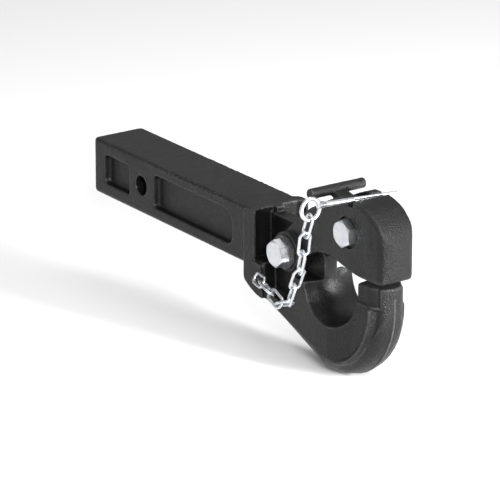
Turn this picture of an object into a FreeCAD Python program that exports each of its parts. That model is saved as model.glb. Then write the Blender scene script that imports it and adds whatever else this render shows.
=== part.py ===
import FreeCAD, Part
import Sketcher
import math
import os

# Pintle hook on a 50.8 mm square receiver shank.
# Local outline coordinates: x from the rear end of the shank, y across, z up
# from the shank's middle. Every sub-part is then placed so that the row frame
# has its origin at the centre of the hitch pin hole.

V = FreeCAD.Vector
doc = FreeCAD.newDocument("PintleHook")
sheet = doc.addObject("Spreadsheet::Sheet", "Dims")
_row = [0]
VAL = {}


def dim(name, value):
    """Store one driving dimension in the sheet under a word alias."""
    if name in VAL:
        return name
    _row[0] += 1
    cell = "B%d" % _row[0]
    sheet.set("A%d" % _row[0], "'" + name.replace("_", " "))
    sheet.set(cell, repr(round(float(value), 5)))
    sheet.setAlias(cell, name)
    VAL[name] = float(value)
    return name


# ---- driving dimensions -------------------------------------------------
dim("shank_side", 50.8)
dim("shank_length", 246.0)
dim("shank_edge_radius", 3.2)
dim("pin_hole_from_end", 75.5)
dim("pin_hole_radius", 8.75)
dim("shoulder_half", 29.0)
dim("lower_half", 25.0)
dim("pocket_depth", 6.0)
dim("web_half", 6.35)
dim("slot_half", 6.9)
dim("jaw_half", 18.0)
dim("pivot_x", 290.0)
dim("pivot_z", 0.0)
dim("front_x", 370.0)
dim("front_z", 38.2)
dim("bolt_radius", 7.0)
dim("bolt_fixed_bore", 7.05)
dim("bolt_running_bore", 7.08)
dim("hex_flats", 21.0)
dim("hex_height", 8.8)
dim("nut_height", 11.0)
dim("knuckle_radius", 16.7)
dim("boss_radius", 16.9)
dim("boss_face", 22.8)
dim("washer_radius", 14.3)
dim("washer_thick", 2.5)
dim("spotface_radius", 13.4)
dim("spotface_floor", 15.3)
dim("horn_top", -0.9)
dim("jaw_open_deg", 65.0)
dim("link_pitch", 18.7)
dim("link_wire", 1.3)
dim("link_slack", 0.8)
dim("link_half_width", 4.5)
dim("pin_radius", 2.3)
dim("pin_x", 373.6)
dim("pin_z", 65.9)
dim("pin_tilt_deg", 3.4)
dim("spring_floor", 18.0)
dim("spring_top", 32.4)
dim("spring_x", 388.5)
dim("spring_radius", 5.0)
dim("spring_wire", 0.8)
dim("handle_x", 331.0)
dim("handle_z", 62.3)
dim("handle_half", 28.0)
dim("handle_radius", 4.5)

SHIFT = V(-VAL["pin_hole_from_end"], 0, 0)
D = "Dims."


def plane(body, role):
    return [o for o in body.Origin.OriginFeatures if o.Role == role][0]


def sketch(body, name, role, offset=None):
    sk = body.newObject("Sketcher::SketchObject", name)
    sk.AttachmentSupport = [(plane(body, role), "")]
    sk.MapMode = "FlatFace"
    if offset is not None:
        sk.AttachmentOffset = FreeCAD.Placement(offset, FreeCAD.Rotation())
    return sk


def outline(sk, prefix, pts, arcs=None):
    """Closed outline. pts are corners; arcs maps a corner's index to a point
    that the edge leaving it passes through. Corners are bound to the sheet."""
    arcs = dict(arcs or {})
    flat = []
    mids = {}
    for i in range(len(pts)):
        flat.append(pts[i])
        if i not in arcs:
            continue
        b = pts[(i + 1) % len(pts)]
        arc = Part.Arc(V(pts[i][0], pts[i][1], 0), V(arcs[i][0], arcs[i][1], 0), V(b[0], b[1], 0))
        t0, t1 = arc.FirstParameter, arc.LastParameter
        if abs(t1 - t0) > 2.0:
            at = [arc.value(t0 + (t1 - t0) * f) for f in (0.25, 0.5, 0.75)]
            if (arc.value(t0) - V(pts[i][0], pts[i][1], 0)).Length > 1e-3:
                at.reverse()
            mids[len(flat) - 1] = (at[0].x, at[0].y)
            flat.append((at[1].x, at[1].y))
            mids[len(flat) - 1] = (at[2].x, at[2].y)
        else:
            mids[len(flat) - 1] = arcs[i]
    pts, arcs = flat, mids
    n = len(pts)
    ids = []
    starts = []
    for i in range(n):
        a = V(pts[i][0], pts[i][1], 0)
        b = V(pts[(i + 1) % n][0], pts[(i + 1) % n][1], 0)
        if i in arcs:
            arc = Part.Arc(a, V(arcs[i][0], arcs[i][1], 0), b)
            gid = sk.addGeometry(arc, False)
            geo = sk.Geometry[gid]
            forward = (sk.getPoint(gid, 1) - a).Length < (sk.getPoint(gid, 2) - a).Length
            starts.append((1, 2) if forward else (2, 1))
            radius = geo.Radius
            ids.append(gid)
            name = dim("%s_arc%d" % (prefix, i), radius)
            k = sk.addConstraint(Sketcher.Constraint("Radius", gid, radius))
            sk.setExpression("Constraints[%d]" % k, D + name)
        else:
            ids.append(sk.addGeometry(Part.LineSegment(a, b), False))
            starts.append((1, 2))
    for i in range(n):
        j = (i + 1) % n
        sk.addConstraint(Sketcher.Constraint("Coincident", ids[i], starts[i][1],
                                             ids[j], starts[j][0]))
    for i in range(n):
        nx = dim("%s_px%d" % (prefix, i), pts[i][0])
        ny = dim("%s_py%d" % (prefix, i), pts[i][1])
        k = sk.addConstraint(Sketcher.Constraint("DistanceX", -1, 1, ids[i], starts[i][0], pts[i][0]))
        sk.setExpression("Constraints[%d]" % k, D + nx)
        k = sk.addConstraint(Sketcher.Constraint("DistanceY", -1, 1, ids[i], starts[i][0], pts[i][1]))
        sk.setExpression("Constraints[%d]" % k, D + ny)


def circle(sk, prefix, cx, cy, radius_alias, cx_alias=None, cy_alias=None):
    r = VAL[radius_alias]
    g = sk.addGeometry(Part.Circle(V(cx, cy, 0), V(0, 0, 1), r), False)
    k = sk.addConstraint(Sketcher.Constraint("Radius", g, r))
    sk.setExpression("Constraints[%d]" % k, D + radius_alias)
    ax = cx_alias or dim(prefix + "_cx", cx)
    ay = cy_alias or dim(prefix + "_cy", cy)
    k = sk.addConstraint(Sketcher.Constraint("DistanceX", -1, 1, g, 3, cx))
    sk.setExpression("Constraints[%d]" % k, D + ax)
    k = sk.addConstraint(Sketcher.Constraint("DistanceY", -1, 1, g, 3, cy))
    sk.setExpression("Constraints[%d]" % k, D + ay)


def feat(body, kind, name, sk, **kw):
    f = body.newObject("PartDesign::" + kind, name)
    f.Profile = sk
    sk.Visibility = False
    for key, val in kw.items():
        if key == "length_expr":
            f.setExpression("Length", val)
        else:
            setattr(f, key, val)
    return f


def volume(body):
    doc.recompute()
    tip = body.Tip
    if "Invalid" in tip.State or "Error" in tip.State or tip.Shape.isNull():
        raise RuntimeError("feature failed: %s" % tip.Name)
    return tip.Shape.Volume


def edges_where(shape, test):
    out = []
    for i, e in enumerate(shape.Edges):
        if test(e):
            out.append("Edge%d" % (i + 1))
    return out


def round_edges(body, name, radius_alias, test):
    """Round the edges of the body's tip that pass the test."""
    doc.recompute()
    tip = body.Tip
    names = edges_where(tip.Shape, test)
    if not names:
        print("no edges for", name)
        return None
    f = body.newObject("PartDesign::Fillet", name)
    f.Base = (tip, names)
    f.Radius = VAL[radius_alias]
    f.setExpression("Radius", D + radius_alias)
    doc.recompute()
    bad = (not f.Shape) or f.Shape.isNull() or not f.Shape.isValid() or ("Invalid" in f.State) or f.Shape.Volume < 0.8 * tip.Shape.Volume
    if bad:
        print("rounding left out:", name, len(names), "edges")
        body.removeObject(f)
        doc.removeObject(f.Name)
        body.Tip = tip
        doc.recompute()
        return None
    print("rounded:", name, len(names), "edges")
    return f


def along_y(e):
    if e.Curve.TypeId != "Part::GeomLine":
        return False
    d = e.Vertexes[-1].Point - e.Vertexes[0].Point
    return abs(d.x) < 1e-6 and abs(d.z) < 1e-6


# ==== hook body ==========================================================
body = doc.addObject("PartDesign::Body", "hook_blank")
body.Label = "hook_casting_blank"
H = VAL["shank_side"] / 2

sk = sketch(body, "ShankSquare", "YZ_Plane")
outline(sk, "shank_sq", [(-H, -H), (H, -H), (H, H), (-H, H)])
feat(body, "Pad", "ShankPad", sk, Length=VAL["shank_length"], length_expr=D + "shank_length")
dim("shank_corner", 3.2)
round_edges(body, "ShankEdges", "shank_corner",
            lambda e: not (abs(e.CenterOfMass.x - VAL["shank_length"]) < 0.1))

# shoulder where the shank widens into the casting
sk = sketch(body, "ShoulderSide", "XZ_Plane")
outline(sk, "shoulder", [(237.0, 25.4), (252.5, 25.4), (252.5, -17.5), (262.0, -19.5),
                         (266.0, -48.0), (257.0, -46.6), (248.0, -43.0), (239.5, -38.0), (237.0, -33.0)])
feat(body, "Pad", "ShoulderPad", sk, Length=58.0, SideType="Symmetric",
     length_expr="2 * " + D + "shoulder_half")

# lower body: its section grows from the shoulder to the horn's arc
sk1 = sketch(body, "LowerSectionRear", "YZ_Plane", V(0, 0, 244.0))
outline(sk1, "low_rear", [(-25.0, -17.5), (-25.0, -41.0), (0.0, -48.5), (25.0, -41.0), (25.0, -17.5)],
        {1: (-13.5, -46.8), 2: (13.5, -46.8)})
sk2 = sketch(body, "LowerSectionFront", "YZ_Plane", V(0, 0, 342.0))
outline(sk2, "low_front", [(-25.0, -17.5), (-25.0, -72.0), (0.0, -92.6), (25.0, -72.0), (25.0, -17.5)],
        {1: (-16.2, -86.78), 2: (16.2, -86.78)})
loft = body.newObject("PartDesign::AdditiveLoft", "LowerLoft")
loft.Profile = sk1
loft.Sections = [sk2]
loft.Ruled = True
sk1.Visibility = False
sk2.Visibility = False
print("after lower loft", volume(body))

# round lower part of the horn: a part turned about the horn's arc centre
cx, cz = 342.0, -22.0
sk = sketch(body, "HornSection", "XY_Plane", V(0, 0, cz))
outline(sk, "horn_sec", [(cx, -25.0), (cx + 50.0, -25.0), (cx + 50.0, 25.0), (cx, 25.0)],
        {1: (cx + 70.6, 0.0)})
rev = body.newObject("PartDesign::Revolution", "HornTurned")
rev.Profile = sk
axis_id = sk.addGeometry(Part.LineSegment(V(cx, -40, 0), V(cx, 40, 0)), True)
sk.addConstraint(Sketcher.Constraint("Vertical", axis_id))
sk.addConstraint(Sketcher.Constraint("DistanceX", -1, 1, axis_id, 1, cx))
sk.addConstraint(Sketcher.Constraint("DistanceY", -1, 1, axis_id, 1, -40))
sk.addConstraint(Sketcher.Constraint("DistanceY", -1, 1, axis_id, 2, 40))
rev.ReferenceAxis = (sk, ["Axis0"])
rev.Angle = dim("horn_turn", 90.0) and VAL["horn_turn"]
rev.setExpression("Angle", D + "horn_turn")
sk.Visibility = False
doc.recompute()
low = body.Shape.BoundBox.ZMin
if low > -80:
    rev.Reversed = True
    doc.recompute()
print("horn turned, lowest", body.Shape.BoundBox.ZMin, "vol", body.Shape.Volume)

# upright tip of the horn, D-shaped in plan
sk = sketch(body, "HornPlan", "XY_Plane", V(0, 0, cz - 4))
outline(sk, "horn_plan", [(384.4, -22.0), (418.0, -22.0), (418.0, 22.0), (384.4, 22.0)],
        {3: (380.0, 0.0)})
feat(body, "Pad", "HornTipPad", sk, Length=25.1)
f = body.Tip
f.setExpression("Length", D + "horn_top + 26")

# plan outline trims the sides from the shoulder to the round nose of the horn
plan_pts = [(-20.0, -40.0), (310.0, -40.0), (310.0, -25.8), (330.0, -25.5), (352.0, -23.8), (378.0, -18.2), (395.0, -17.8),
            (395.0, 17.8), (378.0, 18.2), (352.0, 23.8), (330.0, 25.5), (310.0, 25.8), (310.0, 40.0), (-20.0, 40.0)]
plan_nose = dim("horn_nose_x", 412.8) and VAL["horn_nose_x"]
plan_edges = []
for i, (x, y) in enumerate(plan_pts):
    a = V(x, y, -130)
    b = V(plan_pts[(i + 1) % len(plan_pts)][0], plan_pts[(i + 1) % len(plan_pts)][1], -130)
    if i == 6:
        plan_edges.append(Part.Arc(a, V(plan_nose, 0, -130), b).toShape())
    else:
        plan_edges.append(Part.makeLine(a, b))
prism = doc.addObject("Part::Feature", "HookPlanPrism")
prism.Shape = Part.Face(Part.Wire(plan_edges)).extrude(V(0, 0, 200))
prism.Visibility = False
print("prism", prism.Shape.Volume)
trimmed = doc.addObject("Part::Feature", "HookTrimmedBlank")
doc.recompute()
trimmed.Shape = body.Tip.Shape.common(prism.Shape).Solids[0]
doc.recompute()
print("plan trim", len(trimmed.Shape.Solids), trimmed.Shape.Volume)
body = doc.addObject("PartDesign::Body", "hook_body")
body.Label = "hook_body"
body.BaseFeature = trimmed
doc.recompute()
print("second body", body.Tip.Name, volume(body))

# throat: a turned cutter with a waisted rim, so its wall is convex across
tx, tz = 352.5, -15.5
sk = sketch(body, "ThroatSection", "XY_Plane", V(0, 0, tz))
outline(sk, "throat", [(tx, -32.0), (tx + 34.5, -32.0), (tx + 30.4, -18.0), (tx + 30.4, 18.0),
                       (tx + 34.5, 32.0), (tx, 32.0)],
        {2: (tx + 27.5, 0.0)})
gro = body.newObject("PartDesign::Groove", "ThroatCut")
gro.Profile = sk
axis_id = sk.addGeometry(Part.LineSegment(V(tx, -40, 0), V(tx, 40, 0)), True)
sk.addConstraint(Sketcher.Constraint("Vertical", axis_id))
sk.addConstraint(Sketcher.Constraint("DistanceX", -1, 1, axis_id, 1, tx))
sk.addConstraint(Sketcher.Constraint("DistanceY", -1, 1, axis_id, 1, -40))
sk.addConstraint(Sketcher.Constraint("DistanceY", -1, 1, axis_id, 2, 40))
gro.ReferenceAxis = (sk, ["Axis0"])
gro.Angle = 360.0
sk.Visibility = False
print("after throat", volume(body))

# concave front wall between the shoulder's two lips
for side, tag in ((-1, "Near"), (1, "Far")):
    sk = sketch(body, "FrontHollow" + tag, "XY_Plane", V(0, 0, 40.0))
    pts = [(253.5, side * 26.5), (253.5, side * 4.0), (246.8, side * 4.0), (246.8, side * 14.0)]
    arcs = {3: (248.2, side * 22.2)}
    outline(sk, "hollow_" + tag.lower(), pts, arcs)
    f = feat(body, "Pocket", "FrontHollowCut" + tag, sk, Length=57.5)
    print("front hollow", tag, volume(body))

# side relief under the knuckle
for side, tag in ((-1, "Near"), (1, "Far")):
    sk = sketch(body, "Relief" + tag, "XZ_Plane", V(0, 0, -side * 13.5))
    outline(sk, "relief_" + tag.lower(), [(263.0, -16.0), (306.0, -16.0), (301.0, -36.0), (293.5, -47.5), (264.5, -41.0)])
    f = feat(body, "Pocket", "ReliefCut" + tag, sk, Length=30.0)
    f.Reversed = side < 0
    v0 = volume(body)
    f.Reversed = side > 0
    v1 = volume(body)
    if v0 > v1:
        f.Reversed = side < 0
    # the cut has to run outwards only: the web side stays whole
    print("relief", tag, v0, v1, volume(body))

# central web between the jaw's cheeks
sk = sketch(body, "WebSide", "XZ_Plane")
outline(sk, "web", [(244.0, -25.0), (244.0, 20.0), (311.8, 20.0), (311.8, 13.5), (319.0, 9.5), (325.0, 2.0), (325.0, -25.0)])
feat(body, "Pad", "WebPad", sk, Length=12.7, SideType="Symmetric", length_expr="2 * " + D + "web_half")
print("after web", volume(body))

# pivot bore, hitch pin hole
sk = sketch(body, "PivotBore", "XZ_Plane")
circle(sk, "pivot_bore", VAL["pivot_x"], 0.0, "bolt_fixed_bore", "pivot_x", "pivot_z")
feat(body, "Pocket", "PivotBoreCut", sk, Length=240.0, SideType="Symmetric")
sk = sketch(body, "HitchHole", "XZ_Plane")
circle(sk, "hitch_hole", VAL["pin_hole_from_end"], 0.0, "pin_hole_radius", "pin_hole_from_end", "pivot_z")
feat(body, "Pocket", "HitchHoleCut", sk, Length=240.0, SideType="Symmetric")
print("after bores", volume(body))

# shallow drafted pockets on both flanks of the shank
for side, tag in ((-1, "Near"), (1, "Far")):
    for nm, pts, arcs in (
        ("Small", [(22.0, -14.0), (54.0, -14.0), (57.0, -11.0), (57.0, 10.5), (54.0, 13.5), (22.0, 13.5), (17.0, 8.5), (17.0, -9.0)],
         {1: (56.12, -13.12), 3: (56.12, 12.62), 5: (18.46, 12.04), 7: (18.46, -12.54)}),
        ("Large", [(100.5, -15.5), (207.0, -15.5), (216.0, -6.5), (216.0, 2.5), (203.0, 15.5), (100.5, 15.5), (95.5, 10.5), (95.5, -10.5)],
         {1: (213.36, -12.86), 3: (212.19, 11.69), 5: (96.96, 14.04), 7: (96.96, -14.04)})):
        base = volume(body)
        sk = sketch(body, nm + "Pocket" + tag, "XZ_Plane", V(0, 0, -side * H))
        outline(sk, nm.lower() + "_" + tag.lower(), pts, arcs)
        f = feat(body, "Pocket", nm + "PocketCut" + tag, sk, Length=VAL["pocket_depth"],
                 length_expr=D + "pocket_depth", TaperAngle=-14.0)
        f.Reversed = side < 0
        doc.recompute()
        if "Invalid" in f.State or base - body.Tip.Shape.Volume < 50:
            f.Reversed = side > 0
        v0 = volume(body)
        print(nm, tag, base - v0)

dim("wall_radius", 4.0)
dim("soft_radius", 2.0)


def near(a, b, tol=0.2):
    return abs(a - b) < tol


round_edges(body, "TopRearEdges", "soft_radius",
            lambda e: near(abs(e.CenterOfMass.y), 29.0) and near(e.CenterOfMass.x, 237.0, 0.6))
round_edges(body, "LipEdges", "soft_radius",
            lambda e: near(abs(e.CenterOfMass.y), 29.0) and near(e.CenterOfMass.x, 252.5, 0.4) and e.BoundBox.ZLength > 20)
body.Placement = FreeCAD.Placement(SHIFT, FreeCAD.Rotation())

# ==== upper jaw ==========================================================
jaw = doc.addObject("PartDesign::Body", "upper_jaw")
jaw.Label = "upper_jaw"
px, pz = VAL["pivot_x"], VAL["pivot_z"]
kr = VAL["knuckle_radius"]


def on_knuckle(deg, r=kr):
    return (px + r * math.cos(math.radians(deg)), pz + r * math.sin(math.radians(deg)))


# cheek outline: knuckle, rear edge, crest, pin groove, nose, arch
jaw_pts = [on_knuckle(-35), on_knuckle(130.6), (304.0, 34.0), (319.0, 45.5), (338.0, 56.0), (352.0, 63.0), (362.0, 67.0),
           (369.6, 67.2), (370.2, 61.4), (377.4, 61.2), (378.2, 67.0), (387.0, 66.4), (406.7, 57.8), (418.3, 42.2), (419.3, 32.0),
           (417.4, 10.0), (411.5, 4.0), (384.0, 4.0), (369.5, 6.4), (357.5, 9.0), (346.0, 11.0), (334.5, 10.2), (323.5, 7.4), (311.5, 0.5)]
jaw_arcs = {0: on_knuckle(228), 11: (397.5, 63.3), 12: (413.9, 51.0), 15: (416.0, 5.6)}
sk = sketch(jaw, "JawSide", "XZ_Plane")
outline(sk, "jaw", jaw_pts, jaw_arcs)
feat(jaw, "Pad", "JawPad", sk, Length=36.0, SideType="Symmetric", length_expr="2 * " + D + "jaw_half")
print("jaw pad", volume(jaw))

# round the nose in plan
sk = sketch(jaw, "NosePlan", "XY_Plane", V(0, 0, -5.0))
outline(sk, "nose_plan", [(402.0, -30.0), (430.0, -30.0), (430.0, 30.0), (402.0, 30.0), (402.0, 17.6), (410.6, 17.0),
                          (418.6, 9.5), (419.6, 0.0), (418.6, -9.5), (410.6, -17.0), (402.0, -17.6)],
        {5: (416.1, 14.4), 6: (419.4, 4.8), 7: (419.4, -4.8), 8: (416.1, -14.4)})
feat(jaw, "Pocket", "NosePlanCut", sk, Length=80.0, Reversed=True)
print("nose plan", volume(jaw))
dim("arch_round", 2.5)
round_edges(jaw, "ArchEdges", "arch_round",
            lambda e: near(abs(e.CenterOfMass.y), 18.0, 0.05) and 312 < e.CenterOfMass.x < 392 and e.CenterOfMass.z < 12)

# knuckle bosses on both cheeks
for side, tag in ((-1, "Near"), (1, "Far")):
    sk = sketch(jaw, "Boss" + tag, "XZ_Plane", V(0, 0, -side * 10.0))
    circle(sk, "boss_" + tag.lower(), px, pz, "boss_radius", "pivot_x", "pivot_z")
    f = feat(jaw, "Pad", "BossPad" + tag, sk, Length=12.8, length_expr=D + "boss_face - 10")
    f.Reversed = side > 0
    doc.recompute()
    print("boss", tag, jaw.Shape.BoundBox.YMin, jaw.Shape.BoundBox.YMax)

# slot between the cheeks: open behind and above, closed by the nose
sk = sketch(jaw, "Slot", "XZ_Plane")
outline(sk, "slot", [(262.0, -30.0), (334.0, -30.0), (334.0, 17.0), (354.0, 22.0), (381.0, 22.0), (381.0, 18.0), (396.0, 18.0),
                     (396.0, 46.0), (377.0, 56.0), (369.9, 61.0), (369.9, 90.0), (262.0, 90.0)])
feat(jaw, "Pocket", "SlotCut", sk, Length=13.8, SideType="Symmetric", length_expr="2 * " + D + "slot_half")
print("jaw slot", volume(jaw))

# bores and spot faces
sk = sketch(jaw, "KnuckleBore", "XZ_Plane")
circle(sk, "knuckle_bore", px, pz, "bolt_running_bore", "pivot_x", "pivot_z")
feat(jaw, "Pocket", "KnuckleBoreCut", sk, Length=240.0, SideType="Symmetric")
sk = sketch(jaw, "FrontBore", "XZ_Plane")
circle(sk, "front_bore", VAL["front_x"], VAL["front_z"], "bolt_fixed_bore", "front_x", "front_z")
feat(jaw, "Pocket", "FrontBoreCut", sk, Length=240.0, SideType="Symmetric")
for side, tag in ((-1, "Near"), (1, "Far")):
    sk = sketch(jaw, "SpotFace" + tag, "XZ_Plane", V(0, 0, -side * 30.0))
    circle(sk, "spot_" + tag.lower(), VAL["front_x"], VAL["front_z"], "spotface_radius", "front_x", "front_z")
    base = volume(jaw)
    f = feat(jaw, "Pocket", "SpotFaceCut" + tag, sk, Length=14.7, length_expr="30 - " + D + "spotface_floor")
    f.Reversed = side > 0
    v0 = volume(jaw)
    print("spot face", tag, base - v0)
jaw.Placement = FreeCAD.Placement(SHIFT, FreeCAD.Rotation())

# ==== lock lever with its T-handle =======================================
lever = doc.addObject("PartDesign::Body", "lock_lever")
lever.Label = "lock_lever"
fx, fz = VAL["front_x"], VAL["front_z"]
lev_pts = [(313.8, 17.3), (322.0, 17.3), (341.0, 23.0), (361.0, 28.2), (370.0, 26.6), (381.6, 34.0), (393.0, 35.0), (394.0, 41.0), (381.0, 46.5),
           (372.0, 51.0), (361.5, 54.5), (357.5, 62.0), (346.0, 60.2), (333.0, 62.5), (331.0, 58.2),
           (336.0, 55.2), (348.0, 49.5), (352.0, 43.0), (345.0, 36.5), (330.0, 30.0), (315.5, 26.0), (313.8, 24.0)]
sk = sketch(lever, "LeverSide", "XZ_Plane")
outline(sk, "lever", lev_pts)
feat(lever, "Pad", "LeverPad", sk, Length=12.7, SideType="Symmetric", length_expr="2 * " + D + "web_half")
sk = sketch(lever, "HandleRound", "XZ_Plane")
circle(sk, "handle_bar", VAL["handle_x"], VAL["handle_z"], "handle_radius", "handle_x", "handle_z")
feat(lever, "Pad", "HandlePad", sk, Length=56.0, SideType="Symmetric", length_expr="2 * " + D + "handle_half")
sk = sketch(lever, "LeverBore", "XZ_Plane")
circle(sk, "lever_bore", fx, fz, "bolt_running_bore", "front_x", "front_z")
feat(lever, "Pocket", "LeverBoreCut", sk, Length=240.0, SideType="Symmetric")
print("lever", volume(lever))
dim("handle_end_round", 1.8)
round_edges(lever, "HandleEnds", "handle_end_round",
            lambda e: near(abs(e.CenterOfMass.y), VAL["handle_half"], 0.05))
lever.Placement = FreeCAD.Placement(SHIFT, FreeCAD.Rotation())


# ==== fasteners ==========================================================
def bound(o, **kw):
    for key, expr in kw.items():
        o.setExpression(key, expr)
    return o


def rot_y_minus():
    # local +Z becomes row -Y, so a head at local +Z faces the near side
    return FreeCAD.Rotation(V(1, 0, 0), 90)


def hex_bolt(label, x, z, head_face, shank, turn):
    """Head underside at local 0, head towards +Z, shank towards -Z."""
    head = doc.addObject("Part::Prism", label + "_hex")
    head.Polygon = 6
    head.Circumradius = VAL["hex_flats"] / math.sqrt(3)
    head.Height = VAL["hex_height"]
    bound(head, Circumradius=D + "hex_flats / sqrt(3)", Height=D + "hex_height")
    crown = doc.addObject("Part::Cone", label + "_crown")
    crown.Radius1 = 26.0
    crown.Radius2 = 10.1
    crown.Height = VAL["hex_height"]
    bound(crown, Height=D + "hex_height")
    com = doc.addObject("Part::MultiCommon", label + "_head")
    com.Shapes = [head, crown]
    face = doc.addObject("Part::Cylinder", label + "_bearing")
    face.Radius = 10.3
    face.Height = 0.6
    face.Placement = FreeCAD.Placement(V(0, 0, -0.3), FreeCAD.Rotation())
    stem = doc.addObject("Part::Cylinder", label + "_stem")
    stem.Radius = VAL["bolt_radius"]
    stem.Height = shank
    bound(stem, Radius=D + "bolt_radius", Height=D + dim(label + "_length", shank))
    stem.Placement = FreeCAD.Placement(V(0, 0, -shank), FreeCAD.Rotation())
    tip = doc.addObject("Part::Cone", label + "_point")
    tip.Radius1 = VAL["bolt_radius"] - 1.2
    tip.Radius2 = VAL["bolt_radius"]
    tip.Height = 1.2
    tip.Placement = FreeCAD.Placement(V(0, 0, -shank - 1.2), FreeCAD.Rotation())
    allp = doc.addObject("Part::MultiFuse", label)
    allp.Shapes = [com, stem, tip]
    doc.removeObject(face.Name)
    allp.Label = label
    allp.Placement = FreeCAD.Placement(V(x, head_face, z) + SHIFT, rot_y_minus() * FreeCAD.Rotation(V(0, 0, 1), turn))
    return allp


def hex_nut(label, x, y, z, turn):
    """Nut with its near face at y, body towards +Y."""
    raw = doc.addObject("Part::Prism", label + "_hex")
    raw.Polygon = 6
    raw.Circumradius = VAL["hex_flats"] / math.sqrt(3)
    raw.Height = VAL["nut_height"]
    bound(raw, Circumradius=D + "hex_flats / sqrt(3)", Height=D + "nut_height")
    crown = doc.addObject("Part::Cone", label + "_crown")
    crown.Radius1 = 10.1
    crown.Radius2 = 30.0
    crown.Height = VAL["nut_height"]
    bound(crown, Height=D + "nut_height")
    com = doc.addObject("Part::MultiCommon", label + "_body")
    com.Shapes = [raw, crown]
    hole = doc.addObject("Part::Cylinder", label + "_hole")
    hole.Radius = VAL["bolt_fixed_bore"]
    hole.Height = VAL["nut_height"] + 2
    bound(hole, Radius=D + "bolt_fixed_bore", Height=D + "nut_height + 2")
    hole.Placement = FreeCAD.Placement(V(0, 0, -1), FreeCAD.Rotation())
    cut = doc.addObject("Part::Cut", label)
    cut.Base = com
    cut.Tool = hole
    cut.Label = label
    cut.Placement = FreeCAD.Placement(V(x, y + VAL["nut_height"], z) + SHIFT, rot_y_minus() * FreeCAD.Rotation(V(0, 0, 1), turn))
    return cut


def ring(label, radius_alias, thick_alias, bore_alias="bolt_fixed_bore"):
    outer = doc.addObject("Part::Cylinder", label + "_disc")
    outer.Radius = VAL[radius_alias]
    outer.Height = VAL[thick_alias]
    bound(outer, Radius=D + radius_alias, Height=D + thick_alias)
    inner = doc.addObject("Part::Cylinder", label + "_eye")
    inner.Radius = VAL[bore_alias]
    inner.Height = VAL[thick_alias] + 2
    bound(inner, Radius=D + bore_alias, Height=D + thick_alias + " + 2")
    inner.Placement = FreeCAD.Placement(V(0, 0, -1), FreeCAD.Rotation())
    cut = doc.addObject("Part::Cut", label)
    cut.Base = outer
    cut.Tool = inner
    return cut


head_y = -(VAL["boss_face"] + 0.12 + VAL["washer_thick"])
rear_bolt = hex_bolt("rear_pivot_bolt", px, pz, head_y, 2 * 25.42 + 14.0, 40.0)
far_y = VAL["boss_face"] + 0.12
rear_nut = hex_nut("rear_pivot_nut", px, far_y + VAL["washer_thick"], pz, 12.0)
near_w = ring("rear_near_washer", "washer_radius", "washer_thick")
near_w.Label = "rear_near_washer"
near_w.Placement = FreeCAD.Placement(V(px, -VAL["boss_face"] - 0.12, pz) + SHIFT, rot_y_minus())
far_w = ring("rear_far_washer", "washer_radius", "washer_thick")
far_w.Label = "rear_far_washer"
far_w.Placement = FreeCAD.Placement(V(px, far_y + VAL["washer_thick"], pz) + SHIFT, rot_y_minus())

sf = VAL["spotface_floor"]
dim("lock_washer_radius", 11.6)
dim("lock_washer_thick", 3.0)
front_bolt = hex_bolt("front_pivot_bolt", fx, fz, -sf, 2 * sf + 3.0 + 14.0, 30.0)
fw = ring("front_lock_washer", "lock_washer_radius", "lock_washer_thick")
gap = doc.addObject("Part::Box", "front_lock_washer_split")
gap.Length = 8.0
gap.Width = 1.6
gap.Height = 5.0
gap.Placement = FreeCAD.Placement(V(5.5, -0.8, -1), FreeCAD.Rotation())
fw2 = doc.addObject("Part::Cut", "front_split_washer")
fw2.Base = fw
fw2.Tool = gap
fw2.Label = "front_split_washer"
fw2.Placement = FreeCAD.Placement(V(fx, sf + VAL["lock_washer_thick"], fz) + SHIFT, rot_y_minus())
front_nut = hex_nut("front_pivot_nut", fx, sf + VAL["lock_washer_thick"], fz, 5.0)

# ==== lever spring: closed coil between the jaw's floor and the lever's spur
sr, sw = VAL["spring_radius"], VAL["spring_wire"]
turns = 5.0
sh = VAL["spring_top"] - VAL["spring_floor"] - 2 * sw - 0.1
helix = doc.addObject("Part::Helix", "lever_spring_line")
helix.Radius = sr - sw
helix.Height = sh
helix.Pitch = sh / turns
bound(helix, Radius=D + "spring_radius - " + D + "spring_wire",
      Height=D + "spring_top - " + D + "spring_floor - 2 * " + D + "spring_wire - 0.1",
      Pitch="(" + D + "spring_top - " + D + "spring_floor - 2 * " + D + "spring_wire - 0.1) / 5")
wirec = doc.addObject("Part::Circle", "lever_spring_section")
wirec.Radius = sw
bound(wirec, Radius=D + "spring_wire")
wirec.Placement = FreeCAD.Placement(V(sr - sw, 0, 0), FreeCAD.Rotation(V(1, 0, 0), 90))
spring = doc.addObject("Part::Sweep", "lever_spring")
spring.Sections = [wirec]
spring.Spine = (helix, ["Edge1"])
spring.Solid = True
spring.Frenet = True
spring.Label = "lever_spring"
spring.Placement = FreeCAD.Placement(V(VAL["spring_x"], 0, VAL["spring_floor"] + sw + 0.05) + SHIFT, FreeCAD.Rotation())


# ==== safety pin: split cotter with a round eye ==========================
# local frame: pin along +Y from the eye, the eye in the local YZ plane
def rod(label, r, y0, y1, x=0.0, z=0.0, yaw=0.0):
    c = doc.addObject("Part::Cylinder", label)
    c.Radius = r
    c.Height = y1 - y0
    c.Placement = FreeCAD.Placement(V(x, y0, z), FreeCAD.Rotation(V(1, 0, 0), -90) * FreeCAD.Rotation(V(0, 1, 0), yaw))
    return c


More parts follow.
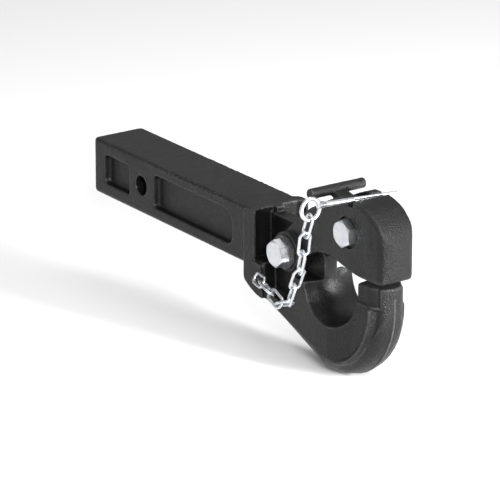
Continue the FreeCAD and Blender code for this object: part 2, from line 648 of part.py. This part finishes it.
pr = VAL["pin_radius"]
body_rod = rod("safety_pin_body", pr, -48.0, -14.0)
bound(body_rod, Radius=D + "pin_radius")
leg_a = rod("safety_pin_leg_a", 1.2, -15.0, 31.0, 0.0, 1.0)
leg_b = rod("safety_pin_leg_b", 1.2, -15.0, 29.0, 0.0, -1.0)
bridge = doc.addObject("Part::Box", "safety_pin_bridge")
bridge.Length = 1.8
bridge.Width = 30.0
bridge.Height = 1.6
bridge.Placement = FreeCAD.Placement(V(-0.9, -15.0, -0.8), FreeCAD.Rotation())
eye = doc.addObject("Part::Torus", "safety_pin_eye")
eye.Radius1 = dim("eye_ring_radius", 8.9) and VAL["eye_ring_radius"]
eye.Radius2 = dim("eye_wire_radius", 1.8) and VAL["eye_wire_radius"]
bound(eye, Radius1=D + "eye_ring_radius", Radius2=D + "eye_wire_radius")
eye.Placement = FreeCAD.Placement(V(0, -56.5, -2.6), FreeCAD.Rotation(V(0, 1, 0), 90))
neck = doc.addObject("Part::Cone", "safety_pin_neck")
neck.Radius1 = 3.6
neck.Radius2 = pr
neck.Height = 7.0
neck.Placement = FreeCAD.Placement(V(0, -49.0, 0), FreeCAD.Rotation(V(1, 0, 0), -90))
pin = doc.addObject("Part::MultiFuse", "safety_pin")
pin.Shapes = [body_rod, leg_a, leg_b, bridge, eye, neck]
pin.Label = "safety_pin"
tilt = VAL["pin_tilt_deg"]
PIN_ROT = FreeCAD.Rotation(V(1, 0, 0), -tilt)
pin.Placement = FreeCAD.Placement(V(VAL["pin_x"], 0, VAL["pin_z"]) + SHIFT, PIN_ROT)
eye_c = V(VAL["pin_x"], 0, VAL["pin_z"]) + PIN_ROT.multVec(V(0, -56.5, -2.6))
print("eye centre", eye_c)

# ==== chain: nine welded links between the pin's eye and the shoulder ====
JOINTS = [V(eye_c.x, eye_c.y, eye_c.z - VAL["eye_ring_radius"] + VAL["eye_wire_radius"] / 2 + VAL["link_wire"] / 2 + 0.8),
          V(365.4, -56.3, 40.4), V(360.4, -54.4, 22.1), V(353.2, -52.9, 4.6),
          V(344.0, -52.0, -11.8), V(334.8, -50.6, -28.0), V(317.0, -47.6, -33.6), V(299.4, -44.4, -28.0),
          V(281.5, -40.0, -25.6), V(264.0, -34.6, -27.2)]
PITCH = VAL["link_pitch"]
fixed = [JOINTS[0]]
for j in JOINTS[1:]:
    d = (j - fixed[-1])
    d.normalize()
    fixed.append(fixed[-1] + d * PITCH)
JOINTS = fixed
for i, j in enumerate(JOINTS):
    dim("chain_jx%d" % i, j.x)
    dim("chain_jy%d" % i, j.y)
    dim("chain_jz%d" % i, j.z)
    print("chain joint", i, [round(c, 2) for c in j])
rw = VAL["link_wire"]
half_w = VAL["link_half_width"]
straight = PITCH + VAL["link_slack"] + 2 * rw - 2 * half_w


def chain_link(i, a, b, roll):
    """Oval link in its local XZ plane, long axis local Z."""
    tag = "chain_link_%d" % (i + 1)
    parts = []
    for s, nm in ((1, "top"), (-1, "low")):
        t = doc.addObject("Part::Torus", tag + "_bow_" + nm)
        t.Radius1 = half_w
        t.Radius2 = rw
        t.Angle3 = 180
        bound(t, Radius1=D + "link_half_width", Radius2=D + "link_wire")
        r = FreeCAD.Rotation(V(1, 0, 0), 90) if s > 0 else FreeCAD.Rotation(V(1, 0, 0), -90)
        t.Placement = FreeCAD.Placement(V(0, 0, s * straight / 2), r)
        parts.append(t)
        c = doc.addObject("Part::Cylinder", tag + "_side_" + nm)
        c.Radius = rw
        c.Height = straight
        bound(c, Radius=D + "link_wire",
              Height=D + "link_pitch + " + D + "link_slack + 2 * " + D + "link_wire - 2 * " + D + "link_half_width")
        c.Placement = FreeCAD.Placement(V(s * half_w, 0, -straight / 2), FreeCAD.Rotation())
        parts.append(c)
    link = doc.addObject("Part::MultiFuse", tag)
    link.Shapes = parts
    link.Label = tag
    zaxis = b - a
    zaxis.normalize()
    out = V(0, -1, 0)
    xaxis = zaxis.cross(out)
    xaxis.normalize()
    yaxis = zaxis.cross(xaxis)
    m = FreeCAD.Matrix(xaxis.x, yaxis.x, zaxis.x, 0, xaxis.y, yaxis.y, zaxis.y, 0, xaxis.z, yaxis.z, zaxis.z, 0, 0, 0, 0, 1)
    base = FreeCAD.Placement(m)
    rot = base.Rotation * FreeCAD.Rotation(V(0, 0, 1), roll)
    link.Placement = FreeCAD.Placement((a + b) * 0.5 + SHIFT, rot)
    return link


ROLLS = [6, 105, 15, 100, 25, 110, 30, 120, 30]
links = [chain_link(i, JOINTS[i], JOINTS[i + 1], ROLLS[i]) for i in range(9)]

# ==== chain stud on the shoulder's flank =================================
stud = doc.addObject("Part::Cylinder", "chain_stud_shaft")
stud.Radius = dim("stud_radius", 3.0) and VAL["stud_radius"]
stud.Height = 2.0
bound(stud, Radius=D + "stud_radius")
cap = doc.addObject("Part::Sphere", "chain_stud_head")
cap.Radius = 5.0
cap.Placement = FreeCAD.Placement(V(0, 0, -1.6), FreeCAD.Rotation())
lim = doc.addObject("Part::Cylinder", "chain_stud_limit")
lim.Radius = 8.0
lim.Height = 6.0
capc = doc.addObject("Part::MultiCommon", "chain_stud_dome")
capc.Shapes = [cap, lim]
studall = doc.addObject("Part::MultiFuse", "chain_stud")
studall.Shapes = [stud, capc]
studall.Label = "chain_stud"
studall.Placement = FreeCAD.Placement(V(257.0, -29.0, -33.0) + SHIFT, rot_y_minus())

NODES = [body, jaw, lever, rear_bolt, rear_nut, near_w, far_w, front_bolt, fw2, front_nut, spring, pin, studall] + links

doc.recompute()
bad = []
for o in doc.Objects:
    if "Invalid" in o.State or "Error" in o.State:
        bad.append((o.Name, o.State))
for o in NODES:
    s = o.Shape
    if s.isNull() or not s.isValid() or not s.Solids:
        bad.append((o.Label, "shape"))
    print("%-20s solids %d vol %9.1f box %s" % (o.Label, len(s.Solids), s.Volume, [round(c - 0, 1) for c in (
        s.BoundBox.XMin, s.BoundBox.YMin, s.BoundBox.ZMin, s.BoundBox.XMax, s.BoundBox.YMax, s.BoundBox.ZMax)]))
if bad:
    raise RuntimeError("failed objects: %s" % bad)

os.makedirs("parts", exist_ok=True)
for o in NODES:
    o.Shape.exportStep("parts/%s.step" % o.Label)
print("wrote", len(NODES), "files")
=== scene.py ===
import math

import bpy
import numpy as np
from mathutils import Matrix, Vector, noise


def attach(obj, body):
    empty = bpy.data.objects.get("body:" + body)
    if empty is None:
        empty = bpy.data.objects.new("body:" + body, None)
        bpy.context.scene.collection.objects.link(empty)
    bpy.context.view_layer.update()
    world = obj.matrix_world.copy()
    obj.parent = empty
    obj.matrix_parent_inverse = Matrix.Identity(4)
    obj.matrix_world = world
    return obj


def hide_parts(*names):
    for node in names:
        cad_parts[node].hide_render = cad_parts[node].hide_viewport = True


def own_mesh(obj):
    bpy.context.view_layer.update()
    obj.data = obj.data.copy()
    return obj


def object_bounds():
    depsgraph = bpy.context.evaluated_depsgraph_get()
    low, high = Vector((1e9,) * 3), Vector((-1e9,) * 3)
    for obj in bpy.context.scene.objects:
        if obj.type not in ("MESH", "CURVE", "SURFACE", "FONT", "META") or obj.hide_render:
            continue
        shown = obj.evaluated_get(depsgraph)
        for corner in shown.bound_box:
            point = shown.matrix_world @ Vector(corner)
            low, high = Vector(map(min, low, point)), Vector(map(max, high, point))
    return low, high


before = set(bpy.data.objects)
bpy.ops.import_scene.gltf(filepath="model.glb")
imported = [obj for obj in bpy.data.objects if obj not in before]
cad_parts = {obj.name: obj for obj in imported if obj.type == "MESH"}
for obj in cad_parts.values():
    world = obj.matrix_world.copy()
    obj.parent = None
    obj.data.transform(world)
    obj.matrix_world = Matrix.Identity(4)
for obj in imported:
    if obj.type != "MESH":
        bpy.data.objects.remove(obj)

box_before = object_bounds()


# ---------------------------------------------------------------- node helpers
class Nodes:
    """Small helper for one material's node tree."""

    def __init__(self, name):
        self.mat = bpy.data.materials.new(name)
        self.mat.use_nodes = True
        self.t = self.mat.node_tree
        self.t.nodes.clear()
        self.out = self.t.nodes.new("ShaderNodeOutputMaterial")
        self.bsdf = self.t.nodes.new("ShaderNodeBsdfPrincipled")
        self.t.links.new(self.bsdf.outputs[0], self.out.inputs[0])
        self.co = self.t.nodes.new("ShaderNodeTexCoord").outputs["Object"]

    def add(self, kind, **props):
        n = self.t.nodes.new(kind)
        for k, v in props.items():
            setattr(n, k, v)
        return n

    def put(self, socket, value):
        if isinstance(value, bpy.types.NodeSocket):
            self.t.links.new(value, socket)
        else:
            socket.default_value = value

    def noise(self, scale, detail=4.0, rough=0.55, co=None, distort=0.0):
        n = self.add("ShaderNodeTexNoise")
        self.put(n.inputs["Vector"], co or self.co)
        n.inputs["Scale"].default_value = scale
        n.inputs["Detail"].default_value = detail
        n.inputs["Roughness"].default_value = rough
        n.inputs["Distortion"].default_value = distort
        return n.outputs["Fac"]

    def voronoi(self, scale, feature="F1", co=None):
        n = self.add("ShaderNodeTexVoronoi", feature=feature)
        self.put(n.inputs["Vector"], co or self.co)
        n.inputs["Scale"].default_value = scale
        return n.outputs["Distance"]

    def ramp(self, fac, a, b, lo=0.0, hi=1.0):
        """Map fac from a..b to lo..hi, clamped."""
        n = self.add("ShaderNodeMapRange")
        self.put(n.inputs["Value"], fac)
        n.inputs["From Min"].default_value = a
        n.inputs["From Max"].default_value = b
        self.put(n.inputs["To Min"], lo)
        self.put(n.inputs["To Max"], hi)
        return n.outputs["Result"]

    def math(self, op, a, b=0.0):
        n = self.add("ShaderNodeMath", operation=op)
        self.put(n.inputs[0], a)
        self.put(n.inputs[1], b)
        return n.outputs[0]

    def mix(self, fac, a, b):
        n = self.add("ShaderNodeMix", data_type="RGBA")
        self.put(n.inputs["Factor"], fac)
        self.put(n.inputs["A"], a)
        self.put(n.inputs["B"], b)
        return n.outputs["Result"]

    def bump(self, height, strength, distance, normal=None):
        n = self.add("ShaderNodeBump")
        n.inputs["Strength"].default_value = strength
        n.inputs["Distance"].default_value = distance
        self.put(n.inputs["Height"], height)
        if normal is not None:
            self.put(n.inputs["Normal"], normal)
        return n.outputs["Normal"]

    def pointiness(self):
        return self.add("ShaderNodeNewGeometry").outputs["Pointiness"]

    def axis(self, name):
        s = self.add("ShaderNodeSeparateXYZ")
        self.put(s.inputs[0], self.co)
        return s.outputs[name]

    def attribute(self, name):
        return self.add("ShaderNodeAttribute", attribute_name=name).outputs["Fac"]


def coated(name, base, grain_low, grain_high):
    """Satin black coating over a rough casting: grain depth follows the mesh attribute cast_grain."""
    m = Nodes(name)
    g = m.attribute("cast_grain")
    blotch = m.noise(38.0, 3.0)
    fine = m.noise(900.0, 5.0, 0.65)
    # painted highlight: convex edges and rims are lightened towards grey, broken up by noise, standing in for light
    # reflected along them
    lift = m.ramp(m.pointiness(), 0.505, 0.56)
    painted_rim_highlight = m.math("MULTIPLY", lift, m.ramp(m.noise(240.0, 4.0, 0.7), 0.40, 0.66, 0.35, 1.0))
    col = m.mix(m.ramp(blotch, 0.3, 0.7), (base * 0.72, base * 0.72, base * 0.76, 1), (base * 1.35, base * 1.35, base * 1.4, 1))
    col = m.mix(m.ramp(fine, 0.35, 0.75, 0.0, 0.35), col, (base * 2.2, base * 2.2, base * 2.25, 1))
    col = m.mix(m.math("MULTIPLY", painted_rim_highlight, 0.55), col, (0.12, 0.12, 0.124, 1))
    dust = m.math("MULTIPLY", m.ramp(m.pointiness(), 0.495, 0.44), m.ramp(m.noise(120.0, 4.0), 0.4, 0.7))
    col = m.mix(m.math("MULTIPLY", dust, 0.18), col, (0.03, 0.029, 0.027, 1))
    m.put(m.bsdf.inputs["Base Color"], col)
    smooth = m.ramp(m.noise(70.0, 3.0), 0.3, 0.7, 0.25, 0.33)
    rough = m.math("ADD", smooth, m.math("MULTIPLY", g, 0.10))
    rough = m.math("ADD", rough, m.ramp(fine, 0.4, 0.7, -0.03, 0.05))
    m.put(m.bsdf.inputs["Roughness"], rough)
    m.bsdf.inputs["Specular IOR Level"].default_value = 0.22
    grains = m.math("SUBTRACT", 1.0, m.voronoi(800.0, "SMOOTH_F1"))
    sand = m.math("ADD", m.math("MULTIPLY", grains, 0.55), m.math("MULTIPLY", m.noise(760.0, 5.0, 0.6), 1.1))
    depth = m.ramp(g, 0.0, 1.0, grain_low, grain_high)
    n1 = m.bump(m.math("MULTIPLY", sand, depth), 1.0, 0.001)
    n2 = m.bump(m.noise(110.0, 2.0), 0.22, 0.0008, n1)
    m.put(m.bsdf.inputs["Normal"], n2)
    return m.mat


def zinc(name, base, rough, marks):
    """Bright zinc plating with a faint crystalline mottling, handling marks, soft wear and painted shade darkening its
    hollows.
    """
    m = Nodes(name)
    mottle = m.noise(260.0, 5.0, 0.6)
    cell = m.voronoi(420.0)
    tint = m.mix(m.ramp(m.noise(55.0, 3.0), 0.3, 0.7), (base[0] * 0.86, base[1] * 0.88, base[2] * 0.92, 1), (base[0], base[1], base[2] * 0.985, 1))
    tint = m.mix(m.ramp(mottle, 0.42, 0.7, 0.0, 0.4), tint, (base[0] * 0.66, base[1] * 0.67, base[2] * 0.68, 1))
    # painted shade: concave spots of the plating are darkened towards dark grey
    low = m.ramp(m.pointiness(), 0.49, 0.44)
    tint = m.mix(m.math("MULTIPLY", low, 0.6), tint, (0.16, 0.155, 0.15, 1))
    m.put(m.bsdf.inputs["Base Color"], tint)
    m.bsdf.inputs["Metallic"].default_value = 1.0
    m.put(m.bsdf.inputs["Roughness"], m.math("ADD", m.ramp(cell, 0.0, 0.8, rough - 0.05, rough + 0.08), m.ramp(mottle, 0.3, 0.7, -0.03, 0.06)))
    h = m.math("ADD", m.math("MULTIPLY", m.noise(750.0, 4.0), 0.6), m.math("MULTIPLY", cell, 0.3))
    n1 = m.bump(h, 0.30, 0.0003)
    if marks:
        w = m.add("ShaderNodeTexWave", wave_type="RINGS", rings_direction="Y")
        m.put(w.inputs["Vector"], m.co)
        w.inputs["Scale"].default_value = 420.0
        w.inputs["Distortion"].default_value = 1.2
        n1 = m.bump(w.outputs["Fac"], 0.08, 0.0002, n1)
    m.put(m.bsdf.inputs["Normal"], n1)
    return m.mat


def oiled_steel(name):
    m = Nodes(name)
    m.put(m.bsdf.inputs["Base Color"], m.mix(m.ramp(m.noise(300.0), 0.35, 0.7), (0.20, 0.19, 0.18, 1), (0.38, 0.37, 0.36, 1)))
    m.bsdf.inputs["Metallic"].default_value = 1.0
    m.put(m.bsdf.inputs["Roughness"], m.ramp(m.noise(700.0), 0.3, 0.7, 0.28, 0.45))
    m.put(m.bsdf.inputs["Normal"], m.bump(m.noise(1500.0), 0.2, 0.0002))
    return m.mat


COAT = coated("black_coat_cast", 0.0040, 0.10, 1.05)
COAT_SMALL = coated("black_coat_small", 0.0055, 0.10, 0.3)
ZINC_BOLT = zinc("zinc_fastener", (0.66, 0.67, 0.685), 0.30, True)
ZINC_WIRE = zinc("zinc_wire", (0.66, 0.67, 0.69), 0.25, False)
SPRING = oiled_steel("spring_wire")


# ---------------------------------------------------------------- castings
def settle(obj):
    dg = bpy.context.evaluated_depsgraph_get()
    done = bpy.data.meshes.new_from_object(obj.evaluated_get(dg))
    obj.modifiers.clear()
    obj.data = done
    return done


def finished_casting(node, body, voxel, smooth, grain, waves, sculpt=None, soft=None, soft_steps=0):
    """A cast skin over a CAD node: edges rounded as a mould leaves them, with a slightly uneven surface."""
    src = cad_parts[node]
    mesh = src.data.copy()
    obj = bpy.data.objects.new("cast_" + node, mesh)
    bpy.context.scene.collection.objects.link(obj)
    weld = obj.modifiers.new("weld", "WELD")
    weld.merge_threshold = 1e-6
    rm = obj.modifiers.new("remesh", "REMESH")
    rm.mode = "VOXEL"
    rm.voxel_size = voxel
    rm.use_smooth_shade = True
    sm = obj.modifiers.new("smooth", "SMOOTH")
    sm.factor = 0.5
    sm.iterations = smooth
    done = settle(obj)
    if soft is not None:
        n = len(done.vertices)
        co = np.empty(n * 3, np.float32)
        done.vertices.foreach_get("co", co)
        w = soft(co.reshape(-1, 3).astype(float))
        vg = obj.vertex_groups.new(name="soft")
        for level in range(1, 5):
            ids = np.nonzero(np.round(w * 4).astype(int) == level)[0]
            if len(ids):
                vg.add([int(i) for i in ids], level / 4.0, "REPLACE")
        s2 = obj.modifiers.new("soften", "SMOOTH")
        s2.factor = 0.5
        s2.iterations = soft_steps
        s2.vertex_group = "soft"
        done = settle(obj)
        obj.vertex_groups.clear()
    n = len(done.vertices)
    co = np.empty(n * 3, np.float32)
    done.vertices.foreach_get("co", co)
    co = co.reshape(-1, 3).astype(float)
    nm = np.empty(n * 3, np.float32)
    done.vertices.foreach_get("normal", nm)
    nm = nm.reshape(-1, 3).astype(float)
    g = grain(co, nm)
    if sculpt is not None:
        co = sculpt(co, nm)
        done.vertices.foreach_set("co", co.astype(np.float32).ravel())
        done.update()
    att = done.attributes.new("cast_grain", "FLOAT", "POINT")
    att.data.foreach_set("value", g.astype(np.float32))
    if waves > 0:
        d = np.zeros(n)
        for i in range(n):
            p = co[i]
            d[i] = noise.noise(Vector((p[0] * 210.0, p[1] * 210.0, p[2] * 210.0))) + 0.6 * noise.noise(Vector((p[0] * 640.0, p[1] * 640.0, p[2] * 640.0)))
        co = co + nm * (d * waves * (0.35 + 0.65 * g))[:, None]
        done.vertices.foreach_set("co", co.astype(np.float32).ravel())
    done.materials.clear()
    done.materials.append(COAT)
    done.polygons.foreach_set("use_smooth", [True] * len(done.polygons))
    done.update()
    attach(obj, body)
    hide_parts(node)
    return obj


def step(v, a, b):
    t = np.clip((v - a) / (b - a), 0.0, 1.0)
    return t * t * (3 - 2 * t)


def hook_grain(co, nm):
    horn = step(co[:, 0], 0.262, 0.292)
    top_edge = step(np.abs(co[:, 1]), 0.0215, 0.0238) * step(co[:, 2], 0.0205, 0.0238) * step(co[:, 0], -0.02, 0.03) * (1 - step(co[:, 0], 0.162, 0.170))
    return np.maximum(0.2 + 0.45 * horn, top_edge)


def horn_marks(co, nm):
    """Recessed seat at the horn's tip, and the rim with its valley along both flanks of the horn."""
    out = co.copy()
    x, y, z = co[:, 0], co[:, 1], co[:, 2]
    seat = step(x, 0.300, 0.304) * step(z, -0.0176, -0.0158) * (1 - step(x, 0.3315, 0.3335)) * step(np.abs(y), 0.004, 0.009)
    dx, dy = x - 0.3195, y
    r = np.hypot(dx, dy) + 1e-9
    f = 1 - 0.0016 * seat / r
    out[:, 0] = 0.3195 + dx * f
    out[:, 1] = dy * f
    rx, rz = x - 0.2665, z + 0.022
    rad = np.hypot(rx, rz)
    ang = np.degrees(np.arctan2(rz, rx))
    along = step(ang, -78, -60) * (1 - step(z, -0.0215, -0.0175)) * step(x, 0.2665, 0.272) * step(np.abs(y), 0.0075, 0.011)
    d = 0.0017 * np.exp(-((rad - 0.0588) / 0.0019) ** 2) - 0.0019 * np.exp(-((rad - 0.0642) / 0.0027) ** 2)
    out += nm * (d * along)[:, None]
    flash = step(np.abs(y), 0.0218, 0.0240) * step(z, 0.0212, 0.0238) * step(x, 0.0, 0.05) * (1 - step(x, 0.163, 0.170))
    for i in np.nonzero(flash > 0.02)[0]:
        p = out[i] * 380.0
        k = noise.noise(Vector(p)) + 0.7 * noise.noise(Vector(p * 2.3))
        out[i] += nm[i] * (0.00045 * k * flash[i])
    return out


def jaw_grain(co, nm):
    face = np.maximum(step(nm[:, 0], 0.25, 0.7), step(nm[:, 2], 0.4, 0.8))
    return np.maximum(0.12, face * step(co[:, 0], 0.19, 0.23))


def lever_grain(co, nm):
    return np.full(len(co), 0.6)


hook = finished_casting("hook_body", "hook_frame", 0.0008, 5, hook_grain, 0.00009,
                        horn_marks, lambda c: np.maximum(step(c[:, 0], 0.296, 0.306) * step(c[:, 2], -0.03, -0.02), 1 - step(c[:, 0], -0.0745, -0.0705)), 16)
jaw = finished_casting("upper_jaw", "jaw", 0.0007, 5, jaw_grain, 0.00011,
                       None, lambda c: step(c[:, 0], 0.302, 0.318), 80)
finished_casting("lock_lever", "lever", 0.0006, 5, lever_grain, 0.00016)


def seam_ridge():
    """The mould's parting seam: a low ridge down the front of the horn and under it."""
    line = [(0.3366, -0.0035), (0.33685, -0.010), (0.3370, -0.018), (0.3370, -0.022)]
    for a in range(-3, -93, -3):
        t = math.radians(a)
        line.append((0.2665 + 0.0705 * math.cos(t), -0.022 + 0.0705 * math.sin(t)))
    verts, faces = [], []
    m = len(line)
    ring = [(-0.0013, -0.0009), (-0.0008, 0.0003), (-0.0003, 0.0008), (0.0003, 0.0008), (0.0008, 0.0003), (0.0013, -0.0009)]
    for i, (x, z) in enumerate(line):
        a = line[max(i - 1, 0)]
        b = line[min(i + 1, m - 1)]
        tx, tz = b[0] - a[0], b[1] - a[1]
        ln = math.hypot(tx, tz)
        nx, nz = -tz / ln, tx / ln
        if nx * (x - 0.2665) + nz * (z + 0.022) < 0:
            nx, nz = -nx, -nz
        fade = min(1.0, i / 2.0, (m - 1 - i) / 3.0)
        for (v, h) in ring:
            hh = h if h < 0 else h * fade * (1 + 0.25 * noise.noise(Vector((x * 300, v * 300, z * 300)))) - 0.00012 * (1 - fade)
            verts.append((x + nx * hh, v, z + nz * hh))
    k = len(ring)
    for i in range(m - 1):
        for j in range(k):
            a, b = i * k + j, i * k + (j + 1) % k
            faces.append((a, b, b + k, a + k))
    faces.append(tuple(range(k)))
    faces.append(tuple(reversed(range((m - 1) * k, m * k))))
    me = bpy.data.meshes.new("horn_seam")
    me.from_pydata(verts, [], faces)
    import bmesh
    bm = bmesh.new()
    bm.from_mesh(me)
    bmesh.ops.recalc_face_normals(bm, faces=bm.faces)
    bm.to_mesh(me)
    bm.free()
    me.polygons.foreach_set("use_smooth", [True] * len(me.polygons))
    me.materials.append(COAT_SMALL)
    o = bpy.data.objects.new("horn_seam", me)
    bpy.context.scene.collection.objects.link(o)
    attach(o, "hook_frame")


seam_ridge()

# ---------------------------------------------------------------- carried-over CAD nodes
WIRE = ["safety_pin"] + ["chain_link_%d" % i for i in range(1, 10)]
BOLTS = ["rear_pivot_bolt", "rear_pivot_nut", "rear_far_washer", "front_pivot_bolt", "front_split_washer", "front_pivot_nut"]
SMALL = ["rear_near_washer", "chain_stud"]
for names, mat in ((WIRE, ZINC_WIRE), (BOLTS, ZINC_BOLT), (SMALL, COAT_SMALL), (["lever_spring"], SPRING)):
    for n in names:
        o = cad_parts[n]
        if not o.material_slots:
            o.data.materials.append(mat)
        for s in o.material_slots:
            s.material = mat

# the coil is shown by a copy of the spring mesh, carried on the jaw body
coil_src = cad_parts["lever_spring"]
coil = bpy.data.objects.new("spring_coil", coil_src.data.copy())
bpy.context.scene.collection.objects.link(coil)
coil.data.materials.clear()
coil.data.materials.append(SPRING)
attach(coil, "jaw")
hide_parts("lever_spring")
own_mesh(coil)

# ---------------------------------------------------------------- stage, lights, camera
floor_z = box_before[0].z - 0.0005
me = bpy.data.meshes.new("floor")
S = 14.0
me.from_pydata([(-S, -S, floor_z), (S, -S, floor_z), (S, S, floor_z), (-S, S, floor_z)], [], [(0, 1, 2, 3)])
floor = bpy.data.objects.new("floor", me)
bpy.context.scene.collection.objects.link(floor)
fm = bpy.data.materials.new("floor_white")
fm.use_nodes = True
fb = fm.node_tree.nodes["Principled BSDF"]
fb.inputs["Base Color"].default_value = (0.74, 0.74, 0.74, 1)
fb.inputs["Roughness"].default_value = 0.9
fb.inputs["Specular IOR Level"].default_value = 0.1
me.materials.append(fm)

bpy.context.scene.view_settings.view_transform = "Standard"
world = bpy.data.worlds.new("studio")
bpy.context.scene.world = world
world.use_nodes = True
wt = world.node_tree
bg = wt.nodes["Background"]
bg.inputs["Strength"].default_value = 1.0
wc = wt.nodes.new("ShaderNodeTexCoord")
ws = wt.nodes.new("ShaderNodeSeparateXYZ")
wt.links.new(wc.outputs["Generated"], ws.inputs[0])
wr = wt.nodes.new("ShaderNodeMapRange")
wr.interpolation_type = "SMOOTHSTEP"
wt.links.new(ws.outputs["Z"], wr.inputs["Value"])
wr.inputs["From Min"].default_value = 0.10
wr.inputs["From Max"].default_value = 0.85
wr.inputs["To Min"].default_value = 0.30
wr.inputs["To Max"].default_value = 0.62
wb = wt.nodes.new("ShaderNodeCombineColor")
for k in range(3):
    wt.links.new(wr.outputs["Result"], wb.inputs[k])
wt.links.new(wb.outputs[0], bg.inputs["Color"])

target = Vector((0.130829, 0.0, -0.026957))
back = Vector((0.7764, -0.5376, 0.3289)).normalized()
side = back.cross(Vector((0, 0, 1))).normalized() * -1.0
up = side.cross(back) * -1.0


def area(name, place, aim, size, power):
    light = bpy.data.lights.new(name, "AREA")
    light.shape = "RECTANGLE"
    light.size, light.size_y = size
    light.energy = power
    o = bpy.data.objects.new(name, light)
    o.location = place
    o.rotation_mode = "QUATERNION"
    o.rotation_quaternion = (Vector(aim) - Vector(place)).to_track_quat("-Z", "Y")
    bpy.context.scene.collection.objects.link(o)
    return o


area("top_soft", (0.05, 0.25, 1.5), (0.15, 0.0, 0.0), (1.2, 1.2), 9.0)
area("key_front", (2.0, -0.95, 0.95), (0.25, 0.0, 0.0), (0.6, 0.8), 58.0)
area("nose_strip", (2.1, 0.62, 0.42), (0.30, 0.0, 0.0), (0.28, 0.7), 125.0)
area("left_strip", (-0.5, -1.7, 0.55), (0.1, 0.0, 0.0), (0.25, 0.8), 4.0)

cam_data = bpy.data.cameras.new("camera")
cam_data.lens = 288.0
cam_data.sensor_width = 36.0
cam_data.clip_start = 0.1
cam_data.clip_end = 60.0
cam = bpy.data.objects.new("camera", cam_data)
cam.location = target + back * 3.407488
cam.rotation_mode = "QUATERNION"
cam.rotation_quaternion = back.to_track_quat("Z", "Y")
bpy.context.scene.collection.objects.link(cam)
bpy.context.scene.camera = cam
